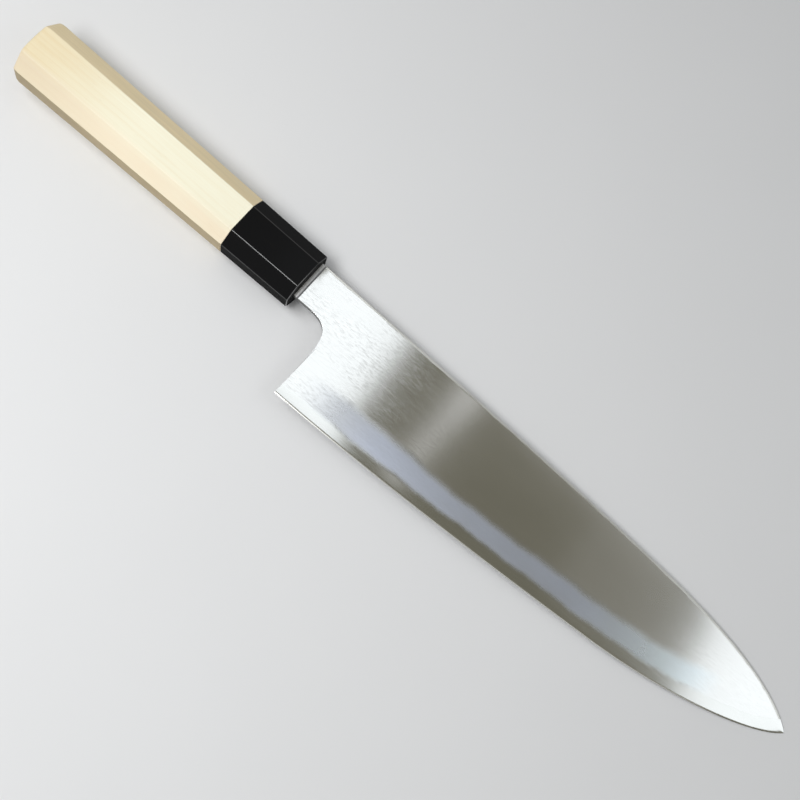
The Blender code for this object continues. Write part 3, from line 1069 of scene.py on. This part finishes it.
def octagonTree():
    sizes = {"Length": 0.1, "End Share": 0.9, **{label: gripShape[label] for label in octagonSizes}}
    inputs = [(label, "Int" if label == "Rings" else "Float", value)
              for label, value in (sizes | gripLook).items()]
    inputs.append(("Material", "Material", None))
    tree, given, end = newGroup("taperedOctagon", inputs, (("Mesh", "Geometry"),),
                                "GeometryNodeTree")

    # an octagon is a rectangle with its corners cut; the two legs of a cut differ,
    # so it is cut on a rectangle measured in legs and then sized
    legTall = 0.5 * (given["Height"] - given["Side Facet"])
    legWide = 0.5 * (given["Thickness"] - given["Top Facet"])
    rectangle = addNode(tree, "GeometryNodeCurvePrimitiveQuadrilateral",
                        {"Width": given["Height"] / legTall,
                         "Height": given["Thickness"] / legWide})
    cut = addNode(tree, "GeometryNodeFilletCurve",
                  {"Curve": rectangle, "Radius": 1.0, "Count": 1}, mode="POLY")
    legs = addNode(tree, "ShaderNodeCombineXYZ", {"X": legTall, "Y": legWide, "Z": 1.0})
    sized = addNode(tree, "GeometryNodeTransform", {"Geometry": cut, "Scale": legs})
    softened = addNode(tree, "GeometryNodeFilletCurve",
                       {"Curve": sized, "Radius": given["Ridge Softness"],
                        "Count": gripShape["ridgeSteps"]}, mode="POLY")
    profile = addNode(tree, "GeometryNodeSubdivideCurve",
                      {"Curve": softened, "Cuts": gripShape["sideCuts"]})

    # the rail's points crowd towards both ends, where the rounding is
    line = addNode(tree, "GeometryNodeCurvePrimitiveLine", {"End": (1, 0, 0)})
    rail = addNode(tree, "GeometryNodeResampleCurve", {"Curve": line, "Count": given["Rings"]})
    share = addNode(tree, "GeometryNodeSplineParameter", output="Factor")
    crowd = calc("COSINE", share * math.pi) * -0.5 + 0.5
    spot = addNode(tree, "ShaderNodeCombineXYZ", {"X": crowd * given["Length"]})
    rail = addNode(tree, "GeometryNodeSetPosition", {"Geometry": rail, "Position": spot})
    x = split(addNode(tree, "GeometryNodeInputPosition"))[0]

    def rounded(distance, length, inset):
        back = (1 - distance / length).clamped()
        return 1 - inset * (1 - calc("SQRT", 1 - back ** 2))

    taper = 1 + (given["End Share"] - 1.0) * (x / given["Length"])
    butt = rounded(x - given["Start Dome"], given["Start Length"], given["Start Inset"])
    dome = (x / given["Start Dome"]).clamped() ** 0.5
    front = rounded(given["Length"] - x, given["End Length"], given["End Inset"])
    swept = addNode(tree, "GeometryNodeCurveToMesh",
                    {"Curve": rail, "Profile Curve": profile, "Fill Caps": True,
                     "Scale": taper * butt * (dome * front)})

    # the butt bows: its rim lies further in the further it is from the middle
    x, y, _ = split(addNode(tree, "GeometryNodeInputPosition"))
    near = (1 - x / given["Bow Reach"]).clamped()
    pull = given["Start Bow"] * y ** 2 * near ** 2
    bow = addNode(tree, "ShaderNodeCombineXYZ", {"X": pull})
    bowed = addNode(tree, "GeometryNodeSetPosition", {"Geometry": swept, "Offset": bow})
    merged = addNode(tree, "GeometryNodeMergeByDistance", {"Geometry": bowed, "Distance": 1e-7})
    real = addNode(tree, "GeometryNodeRealizeInstances", {"Geometry": merged})
    coated = addNode(tree, "GeometryNodeSetMaterial",
                     {"Geometry": real, "Material": given["Material"]})
    setInputs(end, {"Mesh": coated})
    return tree


def shareAt(x):
    return 1 + (gripShape["frontShare"] - 1) * (x - gripShape["buttX"]) / -gripShape["buttX"]


def sweepOctagon(name, startX, endX, look, material):
    big = shareAt(startX)
    values = {label: gripShape[label] * big * gripShape["sanded"] for label in octagonSizes}
    values.update({"Length": endX - startX, "End Share": shareAt(endX) / big,
                   "Material": material, **look})
    maker = addObject(name + "Maker", bpy.data.meshes.new(name + "Start"))
    modifier = maker.modifiers.new("sweep", "NODES")
    modifier.node_group = octagonSweep
    for item in octagonSweep.interface.items_tree:
        if item.in_out == "INPUT" and item.name in values:
            modifier[item.identifier] = values[item.name]
    made = finishedMesh(maker)
    bpy.data.objects.remove(maker)
    made.name = name
    made.transform(knifeToWorld @ Matrix.Translation((startX, 0, 0)))
    bm = bmesh.new()
    bm.from_mesh(made)
    bmesh.ops.recalc_face_normals(bm, faces=bm.faces)
    bm.to_mesh(made)
    bm.free()
    return evenShading(addObject(name, made), gripShape["sharpAngle"])


octagonSweep = octagonTree()
woodEnd = gripShape["jointX"] - gripShape["jointGap"]
woodGrip = sweepOctagon("woodGrip", gripShape["buttX"], woodEnd, gripLook, woodMaterial)
hornFerrule = sweepOctagon("hornFerrule", gripShape["jointX"], 0.0, ferruleLook, hornMaterial)
print("handle ready:", countFaces(woodGrip, hornFerrule), "faces")


# everything is one rigid body, and the bedding keeps its own solid
for piece, node, slot in (
    (coreBlade, "blade_core", "core_steel"),
    (rightCladding, "cladding_right", "clad_steel"),
    (leftCladding, "cladding_left", "clad_steel"),
    (woodGrip, "handle", "pale_wood"),
    (hornFerrule, "ferrule", "black_horn"),
):
    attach(piece, "root")
    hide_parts(node)
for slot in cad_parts["tang_bedding"].material_slots:
    slot.material = beddingMaterial


studio = {
    "floor": (0.74, 0.74, 0.735),
    "floorRadius": 12.0,
    "floorRoughness": 0.8,
    "floorMottle": (14, 14, 14),
    "mottleShade": 0.03,
    "floorSpecular": 0.1,
    "overhead": (0.180, 0.170, 0.128),  # what steel sees straight above
    "horizon": (0.86, 0.86, 0.86),
    "horizonEnds": (0.12, 0.72),  # sines of the heights between which it gives way
    "floorEnds": (0.26, 0.72),  # metres out, where the floor fades into the horizon
    "fill": 0.22,  # the light that comes from all round
    "boxHeight": 600,  # mm above the knife, the same for every lamp
}
lampTints = {"plain": (0.975, 0.985, 1.0), "cool": (0.92, 0.965, 1.0)}
softBoxes = (
    # name, middle and size along and across the knife in mm, turn in degrees, strength, tint
    ("boxOverNeck", (-40, 105), (112, 310), 3.5, 1.27, "cool"),
    ("boxOverPoint", (540, 190), (420, 400), 11, 1.27, "cool"),
    ("keyOverButt", (-345, -155), (350, 350), 0, 6.0, "plain"),
    ("keyInFront", (-145, -300), (170, 300), 0, 11.0, "plain"),
    ("shortFront", (-20, -300), (80, 300), 0, 1.5, "plain"),
    ("longFront", (235, -300), (430, 300), 0, 0.6, "plain"),
    ("backFill", (450, 532), (500, 180), 0, 0.9, "plain"),
    ("thinStrip", (74, 70), (15, 150), -1.6, 0.51, "plain"),
    ("thinStripTop", (77, 198), (23, 104), 0, 0.56, "plain"),
    ("dimOverSpine", (205, 210), (190, 70), -5, 0.30, "plain"),
    ("dimOverPoint", (272, 105), (112, 108), 0, 0.065, "plain"),
)
cameraView = {
    "lens": 68.88,
    "place": (79.87, -157.16, 564.76),  # mm, in the knife's directions
    "right": (0.7566, 0.6399, 0.1346),
    "down": (0.6527, -0.7267, -0.2142),
    "ahead": (-0.0392, 0.2499, -0.9675),
}


def paleFloor():
    bm = bmesh.new()
    bmesh.ops.create_circle(bm, cap_ends=True, radius=studio["floorRadius"], segments=96)
    mesh = meshFrom(bm, "paleFloor")
    material, tree, shader = newMaterial("paleTable")
    place = coordinate(tree, "Object")
    mottle = noise(place, studio["floorMottle"], 3.0)
    setInputs(shader, {"Base Color": shadeBy(studio["floor"], swing(mottle, studio["mottleShade"])),
                       "Roughness": studio["floorRoughness"],
                       "Specular IOR Level": studio["floorSpecular"]})
    distance = addNode(tree, "ShaderNodeVectorMath", {0: place}, "Value", operation="LENGTH")
    rays = outputsOf(tree.nodes.new("ShaderNodeLightPath"))
    seen = calc("MAXIMUM", rays["Is Camera Ray"], rays["Is Glossy Ray"])
    glow = addNode(tree, "ShaderNodeEmission", {"Color": studio["horizon"]})
    mixed = addNode(tree, "ShaderNodeMixShader",
                    {0: seen * smoothStep(distance, *studio["floorEnds"]),
                     1: Field(shader.outputs[0]), 2: glow})
    setInputs(tree.nodes["Material Output"], {"Surface": mixed})
    mesh.materials.append(material)
    floorPiece = addObject("paleFloor", mesh)


def studioWorld():
    world = bpy.data.worlds.new("studio")
    bpy.context.scene.world = world
    world.use_nodes = True
    tree = world.node_tree
    up = split(coordinate(tree, "Generated"))[2]
    rays = outputsOf(tree.nodes.new("ShaderNodeLightPath"))
    seen = calc("MAXIMUM", rays["Is Camera Ray"],
                calc("MAXIMUM", rays["Is Glossy Ray"], rays["Is Transmission Ray"]))
    far = smoothStep(up, *studio["horizonEnds"])
    shown = mixColour(far, studio["horizon"], studio["overhead"])
    colour = mixColour(seen, (studio["fill"],) * 3, shown)
    setInputs(tree.nodes["Background"], {"Color": colour, "Strength": 1.0})


def addSoftBoxes():
    for name, (x, y), (wide, deep), turn, strength, tint in softBoxes:
        lamp = bpy.data.lights.new(name, "AREA")
        lamp.shape = "RECTANGLE"
        lamp.size, lamp.size_y = wide / 1000, deep / 1000
        lamp.energy = strength * math.pi * lamp.size * lamp.size_y
        lamp.color = lampTints[tint]
        lampPiece = addObject(name, lamp)
        middle = Matrix.Translation(Vector((x, y, studio["boxHeight"])) / 1000)
        turned = middle @ Matrix.Rotation(math.radians(turn), 4, "Z")
        lampPiece.matrix_world = knifeToWorld @ turned
        lampPiece.visible_camera = False


def addCamera():
    lens = bpy.data.cameras.new("tableView")
    lens.sensor_width = 36.0
    lens.lens = cameraView["lens"]
    lens.clip_start = 0.01
    lens.clip_end = 100.0
    cameraPiece = addObject("tableView", lens)
    axes = (Vector(cameraView[key]).normalized() for key in ("right", "down", "ahead"))
    right, down, ahead = axes
    turn = Matrix((right, -down, -ahead)).transposed().to_4x4()
    place = Matrix.Translation(Vector(cameraView["place"]) / 1000)
    cameraPiece.matrix_world = knifeToWorld @ place @ turn
    bpy.context.scene.camera = cameraPiece


paleFloor()
studioWorld()
addSoftBoxes()
addCamera()
bpy.context.scene.view_settings.view_transform = "Standard"
print("studio ready")
